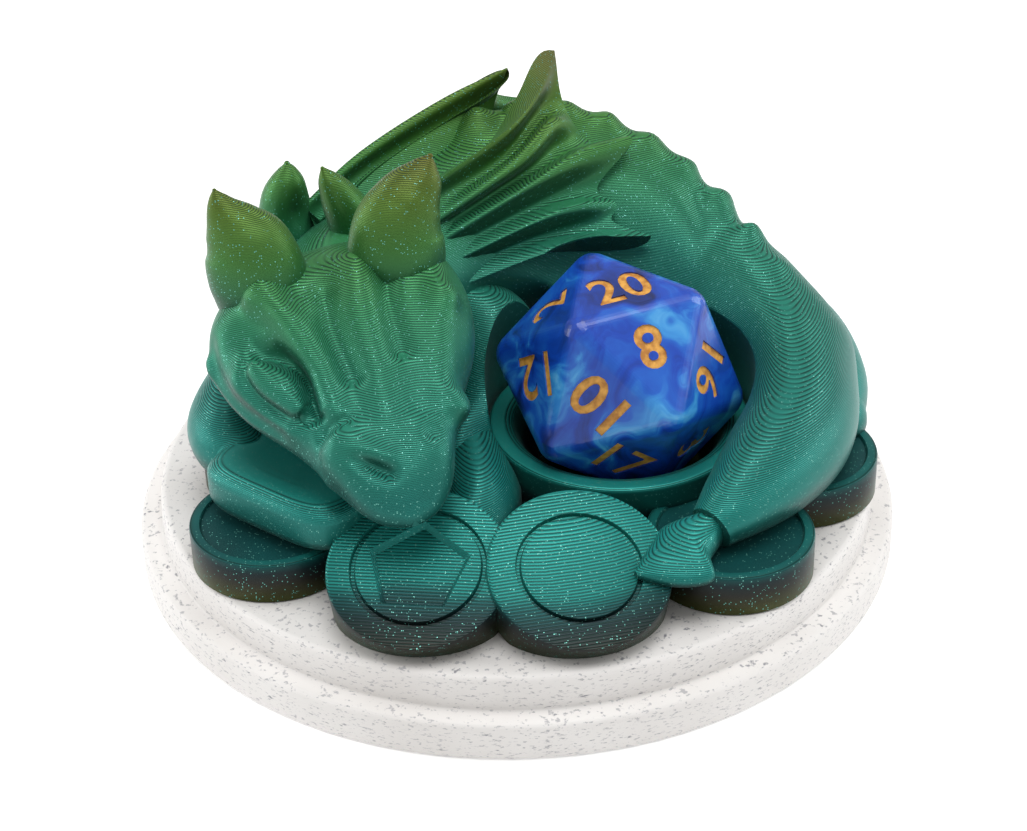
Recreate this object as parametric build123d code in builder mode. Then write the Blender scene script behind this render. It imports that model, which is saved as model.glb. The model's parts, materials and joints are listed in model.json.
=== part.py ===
"""A curled, sleeping dragon that guards one twenty-sided die.

Three things come apart on a table: the round stepped display base, the
printed figure (dragon, coins and die cup in one print, split here along its
sculpted seams) and the loose die.  Millimetres, +Z up; the origin is the
middle of the base's underside, +X is the tail side and -Y the face side.
"""

from itertools import combinations
from math import atan2, cos, degrees, radians, sin
import os

from build123d import *

# ---- display base -----------------------------------------------------------
base_radius = 37.5
tier_radius = 35.15
ledge_height = 3.75
base_top = 7.2
base_rounding = 0.7

# ---- coins ------------------------------------------------------------------
coin_radius = 7.75
coin_thickness = 4.1
coin_chamfer = 0.25
groove_radius = 5.3
groove_width = 0.5
inner_figure_radius = 4.1
inner_figure_turn = 10
lean = 23
leaning_height = 8.75
leaning_radius = 8.3
# Flat coins: bearing from +X, and distance from the middle.
flat_coins = {
    "coin_front_left": (214.5, 27.5),
    "coin_front_right": (-45.0, 27.5),
    "coin_right": (-13.5, 27.0),
    "coin_right_back": (19.5, 27.0),
    "coin_back_right": (52.0, 27.5),
    "coin_back": (84.0, 27.5),
    "coin_back_left": (116.0, 27.5),
    "coin_left_back": (148.5, 27.5),
    "coin_left": (187.0, 23.0),
}
# Leaning coins: place of the underside's middle, and the bearing it leans to.
leaning_coins = {
    "coin_front_middle": (-8.7, -24.1, -97),
    "coin_front": (5.1, -25.3, -78),
}

# ---- die and its cup --------------------------------------------------------
die_x = 10.2
die_y = -3.5
die_z = 18.4
die_across_flats = 20.0
die_ball_radius = 11.9
die_turn = -8
die_tip = 4
numeral_height = 3.4
numeral_stroke = 0.62
numeral_depth = 0.45
cup_outer_radius = 12.7
cup_inner_radius = 11.0
cup_rim = 13.0
cup_floor = 7.8
cup_rim_rounding = 0.5
nest_radius = 13.0
nest_height = 60.0

# ---- dragon: a station is (x, y, z, radius) ----------------------------------
shoulder = (-7.0, 15.2, 21.6, 10.0)
hip = (23.2, 7.4, 16.2, 8.6)
torso_line = (
    shoulder,
    (1.6, 19.6, 22.4, 11.2),
    (10.2, 19.4, 21.2, 10.8),
    (17.6, 14.8, 18.2, 9.5),
    hip,
)
belly_width = 15.0
tail_line = (
    hip,
    (26.4, -1.2, 15.2, 6.8),
    (26.6, -8.5, 14.8, 5.9),
    (23.4, -15.0, 14.6, 4.7),
    (19.4, -20.0, 14.2, 3.3),
)
neck_line = (
    shoulder,
    (-12.4, 9.0, 22.2, 8.8),
    (-15.6, 2.6, 23.0, 8.0),
)
head_start = (-17.4, -0.5)
head_yaw = 17
head_roll = 7
head_sections = (
    # distance from the back, mid height, width, height, corner radius
    (0.0, 25.8, 18.5, 11.4, 5.0),
    (5.0, 25.8, 23.4, 12.2, 5.2),
    (10.5, 24.4, 23.0, 10.6, 4.6),
    (16.0, 22.4, 17.0, 8.4, 3.6),
    (21.5, 20.2, 11.2, 6.8, 2.9),
    (25.4, 18.2, 6.4, 4.2, 1.8),
)
horn_right_line = (
    (-23.0, -6.4, 30.0, 4.8),
    (-23.9, -6.2, 34.8, 4.1),
    (-26.1, -6.0, 40.2, 0.6),
)
horn_left_line = (
    (-10.6, -4.4, 31.0, 4.8),
    (-9.8, -3.6, 36.0, 4.0),
    (-7.3, -2.6, 41.8, 0.8),
)
upper_arm_right_line = ((-19.0, 5.0, 18.0, 5.4), (-25.4, -1.6, 15.2, 4.8), (-26.4, -7.6, 14.2, 3.6))
upper_arm_left_line = ((-7.0, 7.0, 18.6, 5.0), (-3.0, 3.4, 18.8, 4.9), (-1.4, -2.0, 17.0, 4.5))
forearm_left_line = ((-1.4, -2.0, 17.0, 4.5), (-5.0, -9.0, 13.9, 4.0), (-8.0, -17.0, 13.6, 2.6))
paw_right_middle = (-19.6, -13.8)
paw_right_radius = 7.8
paw_right_height = 5.3
paw_right_rounding = 0.8
haunch_right_line = ((24.5, 13.0, 14.0, 6.2), (28.6, 6.6, 13.2, 6.0), (30.8, -1.2, 12.0, 3.8))
tail_tip_outline = ((-4.6, 1.6), (0.4, 4.0), (4.4, 3.6), (4.8, -1.8), (-3.6, -1.9))
tail_tip_middle = (15.2, -24.4, 13.6)
tail_tip_thickness = 3.0

# ---- wings: corner points of each folded membrane ------------------------------
wing_left_corners = (
    (-10.0, 7.4, 34.0),
    (5.3, 20.6, 42.2),
    (8.8, 19.0, 37.4),
    (13.6, 17.0, 34.6),
    (12.6, 12.6, 29.6),
    (14.6, 10.4, 26.2),
    (-7.0, 4.8, 24.4),
)
wing_right_corners = (
    (-19.6, 10.0, 33.0),
    (0.2, 23.4, 38.6),
    (-2.4, 25.4, 34.0),
    (-6.0, 29.6, 24.0),
    (-16.0, 24.0, 17.0),
    (-22.4, 13.0, 22.0),
)
wing_thickness = 2.6
claw_left_line = ((-14.6, 5.2, 29.0, 2.8), (-15.8, 4.8, 33.6, 2.1), (-17.4, 4.4, 37.4, 0.5))
claw_right_line = ((-21.2, 9.2, 27.0, 2.8), (-21.6, 9.0, 31.6, 2.6), (-21.2, 8.8, 35.4, 0.8))
spine_stations = 9
spine_lean = Vector(0, 0.35, 0.94)
spine_radius = 2.0
spine_tip_radius = 0.6
spine_depth = 1.6
spine_height = 1.9
spine_offset = 0.6


# ---- helpers -----------------------------------------------------------------
def station_plane(line, index):
    """Return the plane square to a line of stations at one of its points."""
    centres = [Vector(*station[:3]) for station in line]
    ahead = centres[min(index + 1, len(line) - 1)]
    behind = centres[max(index - 1, 0)]
    heading = (ahead - behind).normalized()
    across = Vector(0, 0, 1).cross(heading)
    if across.length < 0.3:
        across = Vector(1, 0, 0)
    return Plane(origin=centres[index], x_dir=across, z_dir=heading)


def limb(line):
    """Loft a round body through its stations, each a circle square to the line."""
    sections = []
    for index, station in enumerate(line):
        with BuildSketch(station_plane(line, index)) as section:
            Circle(station[3])
        sections.append(section.sketch)
    loft(sections)


def cut_away(*neighbours):
    """Take finished neighbours out of the piece being built, so faces meet."""
    for neighbour in neighbours:
        add(neighbour.part, mode=Mode.SUBTRACT)


def keep_above(height):
    """Flatten the piece being built at a height, as a printer's bed does."""
    split(bisect_by=Plane.XY.offset(height), keep=Keep.TOP)


def largest_only(piece):
    """Drop the slivers that a cut leaves, and keep the main solid."""
    solids = piece.part.solids().sort_by(SortBy.VOLUME)
    piece.part = Part() + solids[-1]


def leave_nest():
    """Clear the round well in which the die sits and lifts."""
    with Locations((die_x, die_y, base_top)):
        Cylinder(nest_radius, nest_height,
                 align=(Align.CENTER, Align.CENTER, Align.MIN), mode=Mode.SUBTRACT)


def stroke_coin(plane, radius, inner_sides=0):
    """Build one coin on its plane: a disc with a groove and a sunk middle figure."""
    with BuildSketch(plane) as disc:
        Circle(radius)
    extrude(disc.sketch, amount=coin_thickness)
    chamfer(edges().filter_by(GeomType.CIRCLE), length=coin_chamfer)
    face_plane = plane.offset(coin_thickness)
    with BuildSketch(face_plane) as groove:
        Circle(groove_radius)
        Circle(groove_radius - groove_width, mode=Mode.SUBTRACT)
    extrude(groove.sketch, amount=-groove_width, mode=Mode.SUBTRACT)
    if inner_sides:
        with BuildSketch(face_plane) as figure:
            RegularPolygon(inner_figure_radius, inner_sides, rotation=inner_figure_turn)
            offset(amount=-groove_width, mode=Mode.SUBTRACT)
        extrude(figure.sketch, amount=-groove_width, mode=Mode.SUBTRACT)


pieces = {}

# ---- display base --------------------------------------------------------------
with BuildPart() as display_base:
    with BuildSketch() as foot:
        Circle(base_radius)
    extrude(amount=ledge_height)
    with BuildSketch(Plane.XY.offset(ledge_height)) as tier:
        Circle(tier_radius)
    extrude(amount=base_top - ledge_height)
    rims = display_base.edges().filter_by(GeomType.CIRCLE)
    fillet([rim for rim in rims if rim.radius > tier_radius or rim.center().Z > ledge_height + 1],
           radius=base_rounding)
pieces["display_base"] = display_base

# ---- die cup ---------------------------------------------------------------------
with BuildPart() as dice_cup:
    with BuildSketch(Plane.XY.offset(base_top)) as cup_foot:
        with Locations((die_x, die_y)):
            Circle(cup_outer_radius)
    extrude(amount=cup_rim - base_top)
    with BuildSketch(Plane.XY.offset(cup_floor)) as cup_well:
        with Locations((die_x, die_y)):
            Circle(cup_inner_radius)
    extrude(amount=cup_rim - cup_floor, mode=Mode.SUBTRACT)
    rim_edges = dice_cup.edges().filter_by(GeomType.CIRCLE).group_by(Axis.Z)[-1]
    fillet(rim_edges, radius=cup_rim_rounding)
pieces["dice_cup"] = dice_cup

# ---- coins -----------------------------------------------------------------------
coins = []
for name, (x, y, facing) in leaning_coins.items():
    outward = Vector(cos(radians(facing)), sin(radians(facing)), 0)
    upward = outward * sin(radians(lean)) + Vector(0, 0, cos(radians(lean)))
    coin_plane = Plane(origin=(x, y, leaning_height), x_dir=upward.cross(outward), z_dir=upward)
    with BuildPart() as coin:
        stroke_coin(coin_plane, leaning_radius, 5 if name == "coin_front_middle" else 0)
        keep_above(base_top)
        cut_away(dice_cup, *coins)
    largest_only(coin)
    coins.append(coin)
    pieces[name] = coin

for name, (bearing, distance) in flat_coins.items():
    x = distance * cos(radians(bearing))
    y = distance * sin(radians(bearing))
    coin_plane = Plane(origin=(x, y, base_top), x_dir=(cos(radians(bearing)), sin(radians(bearing)), 0))
    with BuildPart() as coin:
        stroke_coin(coin_plane, coin_radius)
        cut_away(dice_cup, *coins)
    largest_only(coin)
    coins.append(coin)
    pieces[name] = coin

# ---- head and horns ----------------------------------------------------------------
head_forward = Vector(sin(radians(head_yaw)), -cos(radians(head_yaw)), 0)
head_across = Vector(0, 0, 1).cross(head_forward)
with BuildPart() as head:
    sections = []
    for along, height, width, tall, corner in head_sections:
        middle = Vector(*head_start, height) + head_forward * along
        head_plane = Plane(origin=middle, x_dir=head_across, z_dir=head_forward)
        with BuildSketch(head_plane) as section:
            RectangleRounded(width, tall, corner, rotation=head_roll)
        sections.append(section.sketch)
    loft(sections)
    cut_away(*coins)
pieces["head"] = head

with BuildPart() as horn_right:
    limb(horn_right_line)
    cut_away(head)
pieces["horn_right"] = horn_right

with BuildPart() as horn_left:
    limb(horn_left_line)
    cut_away(head)
pieces["horn_left"] = horn_left

# ---- forelegs ------------------------------------------------------------------------
with BuildPart() as paw_right:
    with BuildSketch(Plane.XY.offset(base_top + coin_thickness)) as paw_outline:
        with Locations(paw_right_middle):
            Circle(paw_right_radius)
    extrude(amount=paw_right_height)
    fillet(paw_right.edges(), radius=paw_right_rounding)
    cut_away(dice_cup, head, *coins)
pieces["paw_right"] = paw_right

with BuildPart() as foreleg_right:
    limb(upper_arm_right_line)
    cut_away(head, paw_right, *coins)
pieces["foreleg_right"] = foreleg_right

with BuildPart() as foreleg_left:
    limb(upper_arm_left_line)
    leave_nest()
    cut_away(head, *coins)
pieces["foreleg_left"] = foreleg_left

with BuildPart() as paw_left:
    limb(forearm_left_line)
    leave_nest()
    cut_away(head, foreleg_left, *coins)
largest_only(paw_left)
pieces["paw_left"] = paw_left

# ---- tail ------------------------------------------------------------------------------
with BuildPart() as tail:
    limb(tail_line)
    leave_nest()
    keep_above(base_top)
    cut_away(*coins)
largest_only(tail)
pieces["tail"] = tail

with BuildPart() as tail_tip:
    tip_plane = Plane(origin=tail_tip_middle, x_dir=(1, -0.12, 0), z_dir=(0.05, -0.4, 1))
    with BuildSketch(tip_plane) as tip_outline:
        Polygon(*tail_tip_outline, align=None)
        fillet(tip_outline.vertices(), radius=0.5)
    extrude(amount=tail_tip_thickness / 2, both=True)
    leave_nest()
    cut_away(tail, *coins)
pieces["tail_tip"] = tail_tip

# ---- torso, neck and haunch ---------------------------------------------------------------
with BuildPart() as torso:
    limb(torso_line)
    with BuildSketch(Plane.XY.offset(base_top)) as belly:
        with BuildLine():
            Spline(*[station[:2] for station in torso_line])
        trace(line_width=belly_width)
    extrude(amount=hip[2] - base_top)
    leave_nest()
    keep_above(base_top)
    cut_away(tail, foreleg_left, *coins)
pieces["torso"] = torso

with BuildPart() as neck:
    limb(neck_line)
    leave_nest()
    cut_away(torso, head, foreleg_left, foreleg_right, horn_left, horn_right, *coins)
pieces["neck"] = neck

with BuildPart() as haunch_right:
    limb(haunch_right_line)
    cut_away(torso, tail, *coins)
largest_only(haunch_right)
pieces["haunch_right"] = haunch_right


# ---- wings ---------------------------------------------------------------------------------
def membrane(corners):
    """Build a folded wing as a plate on the plane of its wrist, tip and last corner."""
    wrist = Vector(*corners[0])
    tip = Vector(*corners[1])
    root = Vector(*corners[-2])
    wing_plane = Plane(origin=wrist, x_dir=tip - wrist, z_dir=(tip - wrist).cross(root - wrist))
    flat = [wing_plane.to_local_coords(Vector(*corner)) for corner in corners]
    with BuildSketch(wing_plane) as outline:
        Polygon(*[(point.X, point.Y) for point in flat], align=None)
    extrude(outline.sketch, amount=wing_thickness / 2, both=True)


with BuildPart() as wing_left:
    membrane(wing_left_corners)
    leave_nest()
    cut_away(torso, neck, head, foreleg_left, horn_left)
largest_only(wing_left)
pieces["wing_left"] = wing_left

with BuildPart() as wing_right:
    membrane(wing_right_corners)
    cut_away(torso, neck, head, wing_left, foreleg_right, *coins)
largest_only(wing_right)
pieces["wing_right"] = wing_right

with BuildPart() as wing_claw_left:
    limb(claw_left_line)
    cut_away(neck, head, horn_left, wing_left, wing_right)
largest_only(wing_claw_left)
pieces["wing_claw_left"] = wing_claw_left

with BuildPart() as wing_claw_right:
    limb(claw_right_line)
    cut_away(neck, head, horn_right, wing_right, foreleg_right)
largest_only(wing_claw_right)
pieces["wing_claw_right"] = wing_claw_right

# ---- die --------------------------------------------------------------------------------------
# Twelve corners of an icosahedron that lies with one face up, in three-fold rings.
ring_polar = (37.377, 79.188, 100.812, 142.623)
ring_turn = (0, 60, 0, 60)
die_plane = Plane(
    origin=(die_x, die_y, die_z),
    x_dir=(cos(radians(die_turn)), sin(radians(die_turn)), 0.0),
    z_dir=(0, -sin(radians(die_tip)), cos(radians(die_tip))),
)
corners = []
for polar, turn in zip(ring_polar, ring_turn):
    for third in (0, 120, 240):
        angle = radians(third + turn)
        level = radians(polar)
        corners.append(Vector(sin(level) * cos(angle), sin(level) * sin(angle), cos(level)))
# Each number with the three corners of its face; its top points to the first one.
faces = {
    1: (11, 9, 10), 2: (4, 2, 1), 3: (6, 5, 11), 4: (7, 3, 1), 5: (10, 4, 7),
    6: (6, 0, 3), 7: (11, 8, 10), 8: (5, 2, 0), 9: (9, 6, 3), 10: (8, 2, 5),
    11: (9, 3, 7), 12: (8, 2, 4), 13: (10, 9, 7), 14: (3, 0, 1), 15: (10, 4, 8),
    16: (6, 0, 5), 17: (5, 11, 8), 18: (7, 4, 1), 19: (9, 6, 11), 20: (1, 0, 2),
}
# Strokes of each digit in a box two wide and three high.
digit_strokes = {
    "0": ((0.6, 0), (1.4, 0), (2, 0.9), (2, 2.1), (1.4, 3), (0.6, 3), (0, 2.1), (0, 0.9), (0.6, 0)),
    "1": ((0.5, 2.4), (1.2, 3), (1.2, 0)),
    "2": ((0, 2.3), (0.5, 3), (1.5, 3), (2, 2.3), (1.8, 1.6), (0, 0), (2, 0)),
    "3": ((0, 2.6), (0.6, 3), (1.5, 3), (1.9, 2.3), (1.2, 1.6), (2, 0.8), (1.5, 0), (0.6, 0), (0, 0.5)),
    "4": ((1.5, 0), (1.5, 3), (0, 1), (2, 1)),
    "5": ((1.9, 3), (0.3, 3), (0.2, 1.7), (1.5, 1.8), (2, 1), (1.4, 0), (0.1, 0.2)),
    "6": ((1.6, 3), (0.5, 2), (0, 0.9), (0.6, 0), (1.4, 0), (2, 0.8), (1.4, 1.6), (0.3, 1.4)),
    "7": ((0, 3), (2, 3), (0.8, 0)),
    "8": ((1, 1.6), (0.2, 2.3), (0.7, 3), (1.3, 3), (1.8, 2.3), (1, 1.6), (0, 0.8), (0.6, 0),
          (1.4, 0), (2, 0.8), (1, 1.6)),
    "9": ((0.4, 0), (1.5, 1), (2, 2.1), (1.4, 3), (0.6, 3), (0, 2.2), (0.6, 1.4), (1.7, 1.6)),
}
digit_pitch = 2.9


def face_plane(number):
    """Return the plane on a face of the die, with +Y towards the top of its number."""
    top, second, third = (die_plane.from_local_coords(corners[i]) for i in faces[number])
    middle = (top + second + third) * (1 / 3)
    outward = (middle - die_plane.origin).normalized()
    upward = (top - middle).normalized()
    origin = die_plane.origin + outward * (die_across_flats / 2)
    return Plane(origin=origin, x_dir=upward.cross(outward), z_dir=outward)


def numeral(number):
    """Draw a number with round-ended strokes, centred on its face."""
    unit = numeral_height / 3
    digits = str(number)
    for place, digit in enumerate(digits):
        shift = (place - (len(digits) - 1) / 2) * digit_pitch - 1
        points = [Vector(x + shift, y - 1.5) * unit for x, y in digit_strokes[digit]]
        for start, end in zip(points, points[1:]):
            run = end - start
            with Locations(Location((start + end) * 0.5, degrees(atan2(run.Y, run.X)))):
                SlotCenterToCenter(run.length, numeral_stroke)


with BuildPart() as d20_numerals:
    for number in faces:
        with BuildSketch(face_plane(number)) as digits_sketch:
            numeral(number)
        extrude(digits_sketch.sketch, amount=-numeral_depth)
pieces["d20_numerals"] = d20_numerals

with BuildPart() as d20:
    with Locations(die_plane):
        Sphere(die_ball_radius)
    for number in faces:
        split(bisect_by=face_plane(number), keep=Keep.BOTTOM)
    cut_away(d20_numerals)
pieces["d20"] = d20

# ---- dorsal spines ---------------------------------------------------------------------------
with BuildLine() as ridge:
    ridge_curve = Spline(*[Vector(*station[:3]) + spine_lean * station[3] for station in torso_line])
with BuildPart() as dorsal_spines:
    for index in range(spine_stations):
        crest = ridge_curve.position_at((index + spine_offset) / spine_stations)
        foot = crest - spine_lean * spine_depth
        tip = crest + spine_lean * spine_height
        limb(((*foot, spine_radius), (*tip, spine_tip_radius)))
    cut_away(torso, wing_left, wing_right)
pieces["dorsal_spines"] = dorsal_spines

# ---- write one file per piece -------------------------------------------------------------------
os.makedirs("parts", exist_ok=True)
for name, piece in pieces.items():
    piece.part.label = name
    export_step(piece.part, f"parts/{name}.step")
    print(name, len(piece.part.solids()), round(piece.part.volume, 1))
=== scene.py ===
# %% [markdown]
# # A sleeping dragon that guards a die
# The object is a printed baby dragon, asleep on a ring of coins, curled round a
# cup with a blue twenty-sided die, on a round display base.  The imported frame
# fixes where everything is.  This lesson gives each piece its real surface:
# almost all of them are grids of points worked out with numpy, a ring of points
# carried along a line or a height laid over a disc.  Lengths are in millimetres
# until a mesh is made, which turns them into metres.

# %% start: load the frame
import json
import math
import bpy
import numpy as np
from mathutils import Euler, Matrix, Vector

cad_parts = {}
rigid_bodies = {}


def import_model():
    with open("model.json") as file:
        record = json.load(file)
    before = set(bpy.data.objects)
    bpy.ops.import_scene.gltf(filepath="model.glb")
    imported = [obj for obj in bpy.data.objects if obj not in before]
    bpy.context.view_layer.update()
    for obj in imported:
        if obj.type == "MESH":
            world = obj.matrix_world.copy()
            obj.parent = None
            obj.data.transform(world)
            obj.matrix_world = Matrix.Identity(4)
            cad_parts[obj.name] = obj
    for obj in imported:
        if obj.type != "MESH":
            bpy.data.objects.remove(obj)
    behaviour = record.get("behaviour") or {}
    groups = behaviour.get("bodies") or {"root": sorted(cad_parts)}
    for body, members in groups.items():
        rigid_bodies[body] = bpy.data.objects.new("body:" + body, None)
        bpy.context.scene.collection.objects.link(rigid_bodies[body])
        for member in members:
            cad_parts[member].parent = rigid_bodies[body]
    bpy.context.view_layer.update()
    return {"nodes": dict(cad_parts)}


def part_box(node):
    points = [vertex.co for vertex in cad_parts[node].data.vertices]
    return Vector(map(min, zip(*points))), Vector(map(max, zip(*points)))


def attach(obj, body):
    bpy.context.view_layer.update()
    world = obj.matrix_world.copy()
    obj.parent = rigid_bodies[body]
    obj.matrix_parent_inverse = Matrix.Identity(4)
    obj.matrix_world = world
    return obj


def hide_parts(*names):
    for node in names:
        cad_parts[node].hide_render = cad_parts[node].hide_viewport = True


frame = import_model()
MM = 0.001


# %% [markdown]
# ## Places read from the frame
# The base, the cup and the die are round, so the middle of each node's box is
# its axis.  Everything that sits on the base starts at the base's top.

# %% main places
def box_mm(node):
    """Lowest and highest corner of a node, in millimetres."""
    low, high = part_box(node)
    return np.array(low) / MM, np.array(high) / MM


base_low, base_high = box_mm("display_base")
BASE_R = (base_high[0] - base_low[0]) / 2
BASE_TOP = base_high[2]
cup_low, cup_high = box_mm("dice_cup")
cup_middle = (cup_low + cup_high) / 2
CUP_R = (cup_high[0] - cup_low[0]) / 2
print("base radius", round(BASE_R, 2), "top", round(BASE_TOP, 2), "cup", cup_middle[:2].round(2))


# %% [markdown]
# ## From a grid of points to a closed mesh
# A tube, a lathe turning and a coin are all the same thing to Blender: rows of
# points, each row a closed ring.  Neighbouring rows are joined by squares, and
# the first and last row are closed by a fan to one point.  The signed volume
# tells if the faces look outwards; if it is negative they are turned round.

# %% helpers: mesh from rings
def ring_faces(rows, columns):
    """Index arithmetic for the squares between each row of points and the next."""
    row = np.arange(rows - 1)[:, None] * columns
    column = np.arange(columns)[None, :]
    after = (column + 1) % columns
    quads = np.stack([row + column, row + after, row + columns + after, row + columns + column], -1)
    return quads.reshape(-1, 4)


def signed_volume(points, triangles):
    """Sum of the tetrahedra from the origin to each triangle: positive if they face outwards."""
    a, b, c = (points[triangles[:, k]] for k in range(3))
    return np.einsum("ij,ij->i", a, np.cross(b, c)).sum() / 6


def closed_shell(rings):
    """Points and faces of a closed shell: the rings, with a fan to a middle point at each end."""
    rows, columns = rings.shape[:2]
    middles = np.stack([rings[0].mean(0), rings[-1].mean(0)])
    points = np.vstack([rings.reshape(-1, 3), middles])
    quads = ring_faces(rows, columns)
    around = np.arange(columns)
    after = (around + 1) % columns
    first = np.stack([after, around, np.full(columns, rows * columns)], -1)
    start = (rows - 1) * columns
    last = np.stack([start + around, start + after, np.full(columns, rows * columns + 1)], -1)
    fans = np.vstack([first, last])
    halves = np.vstack([quads[:, [0, 1, 2]], quads[:, [0, 2, 3]], fans])
    if signed_volume(points - points.mean(0), halves) < 0:
        quads = quads[:, ::-1]
        fans = fans[:, ::-1]
    return points, quads.tolist() + fans.tolist()


def joined(shells):
    """Several closed shells as one set of points and faces."""
    points, faces, count = [], [], 0
    for shell_points, shell_faces in shells:
        faces += [[index + count for index in face] for face in shell_faces]
        points.append(shell_points)
        count += len(shell_points)
    return np.vstack(points), faces


def make_piece(name, shell, smooth=True):
    """A Blender mesh object from points in millimetres, standing where the frame says."""
    points, faces = shell
    mesh = bpy.data.meshes.new(name)
    mesh.from_pydata((points * MM).tolist(), [], faces)
    mesh.polygons.foreach_set("use_smooth", np.full(len(faces), smooth))
    mesh.update()
    piece = bpy.data.objects.new(name, mesh)
    bpy.context.collection.objects.link(piece)
    print(f"{name}: {len(points)} points, {len(faces)} faces")
    return piece


def settle(piece, body, nodes, material):
    """The piece rides on its body, stands for its nodes and wears its material."""
    piece.data.materials.append(material)
    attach(piece, body)
    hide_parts(*nodes)
    return piece


def figure_piece(name, shell, node, smooth=True):
    """A piece of the printed dragon, which stands for one node and wears the filament."""
    return settle(make_piece(name, shell, smooth), "figure", [node], silk)


# %% [markdown]
# ## Lines and limbs
# A limb is a circle carried along a smooth line, growing and shrinking on the
# way.  The line passes through a few chosen stations, joined by Catmull-Rom
# curves, which need no handles.  The same curve smooths any list of numbers, so
# one function serves for places, radii and the outlines of the head.

# %% helpers: smooth lines and swept rings
def smooth_through(stations, count):
    """Catmull-Rom: p = (2b + (c-a)t + (2a-5b+4c-d)t^2 + (3b-a-3c+d)t^3) / 2 on each span."""
    s = np.asarray(stations, float)
    padded = np.vstack([2 * s[0] - s[1], s, 2 * s[-1] - s[-2]])
    t = np.linspace(0, len(s) - 1, count)
    span = np.minimum(t.astype(int), len(s) - 2)
    t = (t - span)[:, None]
    a, b, c, d = (padded[span + k] for k in range(4))
    square, cube = 2 * a - 5 * b + 4 * c - d, 3 * b - a - 3 * c + d
    return (2 * b + (c - a) * t + square * t**2 + cube * t**3) / 2


def unit(vectors):
    """Each vector divided by its length."""
    return vectors / np.maximum(np.linalg.norm(vectors, axis=-1, keepdims=True), 1e-9)


def sweep(line, columns=72, flat=1.0, up=(0, 0, 1), dome=(True, True)):
    """Rings square to a line of (x, y, z, radius): centre + r (cos a * side + flat * sin a * lift).

    A dome end shrinks the last rings on a quarter circle, so the end is round."""
    centre, radius = line[:, :3], line[:, 3]
    ahead = unit(np.gradient(centre, axis=0))
    side = unit(np.cross(np.broadcast_to(up, ahead.shape), ahead))
    lift = np.cross(ahead, side)
    if dome[0]:
        centre, radius, side, lift = grow_dome(centre, radius, side, lift, -ahead[0], 0)
    if dome[1]:
        centre, radius, side, lift = grow_dome(centre, radius, side, lift, ahead[-1], -1)
    angle = np.linspace(0, 2 * np.pi, columns, endpoint=False)
    across = np.cos(angle)[None, :, None] * side[:, None]
    high = flat * np.sin(angle)[None, :, None] * lift[:, None]
    return centre[:, None] + radius[:, None, None] * (across + high)


def grow_dome(centre, radius, side, lift, outward, end):
    """Add rings of a half ball past one end: offset r sin a, radius r cos a."""
    a = np.linspace(0, np.pi / 2, 9)[1:-1]
    extra_centre = centre[end] + outward * (radius[end] * np.sin(a))[:, None]
    extra_radius = radius[end] * np.cos(a)
    extra_side = np.repeat(side[end][None], len(a), 0)
    extra_lift = np.repeat(lift[end][None], len(a), 0)
    pairs = [(centre, extra_centre), (radius, extra_radius), (side, extra_side), (lift, extra_lift)]
    if end == 0:
        return [np.concatenate([extra[::-1], body]) for body, extra in pairs]
    return [np.concatenate([body, extra]) for body, extra in pairs]


# %% [markdown]
# ## Sculpting a grid
# A sculptor pushes clay in and out with a thumb.  On a grid of points the thumb
# is a bell curve: points near a line move along their own outward normal, and
# the effect fades with distance.  A positive height makes a ridge, a negative
# one a crease, and a line of a single point makes a bump.

# %% helpers: ridges, creases and bumps
def outward_normals(rings):
    """Normals of a closed grid: the cross product of its two directions, turned outwards."""
    wrapped = np.concatenate([rings[:, -1:], rings, rings[:, :1]], 1)
    along = np.gradient(rings, axis=0)
    around = np.gradient(wrapped, axis=1)[:, 1:-1]
    normal = unit(np.cross(around, along))
    out = rings - rings.mean(1, keepdims=True)
    sign = np.sign(np.sum(normal * out))
    return normal * (sign if sign else 1)


def ridge(rings, stations, width, height):
    """Move points along their normals by height * exp(-(distance to the line / width)^2)."""
    line = np.asarray(stations, float)
    if len(line) > 1:
        line = smooth_through(line, 12 * len(line))
    nearest = np.full(rings.shape[:2], 1e9)
    for place in line:
        nearest = np.minimum(nearest, np.linalg.norm(rings - place, axis=-1))
    push = height * np.exp(-((nearest / width) ** 2))
    return rings + outward_normals(rings) * push[..., None]


def sculpted(rings, strokes):
    """Each stroke (stations, width, height) in turn."""
    for stations, width, height in strokes:
        rings = ridge(rings, stations, width, height)
    return rings


# %% [markdown]
# ## Materials
# ### The printed figure
# The filament changes colour along its length, so on a print the colour is a
# function of height alone: brown at the bed, then dark teal, bright teal, green
# and olive at the tips.  A Color Ramp on the object's own Z gives that exactly,
# and it stays put when the figure is lifted.  The layers are 0.13 mm thick.  On a
# wall they hardly show, on a slope they are clear steps, so their strength
# follows how much the surface leans; their grooves are darkened with painted
# shade.  Over that the colour carries painted light and shade: lighter where
# the surface faces up, darker where it faces sideways or down.  The glitter is
# a few bright cells of a fine Voronoi pattern.

# %% helper: nodes in few words
def new_material(name):
    """A node material with a Principled shader: (material, add a node, set the shader)."""
    material = bpy.data.materials.new(name)
    material.use_nodes = True
    tree = material.node_tree
    shader = tree.nodes["Principled BSDF"]

    def add(kind, inputs=None, **settings):
        """Make a node, set its properties, and link or set each named input."""
        node = tree.nodes.new("ShaderNode" + kind)
        for key, value in settings.items():
            setattr(node, key, value)
        for key, value in (inputs or {}).items():
            link(value, node.inputs[key])
        return node

    def link(value, socket):
        """Join an output socket, or set a plain value."""
        if isinstance(value, bpy.types.NodeSocket):
            tree.links.new(value, socket)
        else:
            socket.default_value = value

    def wear(inputs):
        """Link or set the shader's named inputs."""
        for key, value in inputs.items():
            link(value, shader.inputs[key])

    return material, add, wear


def maths(add, operation, *values):
    """One Math node on the given values."""
    return add("Math", dict(enumerate(values)), operation=operation).outputs[0]


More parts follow.
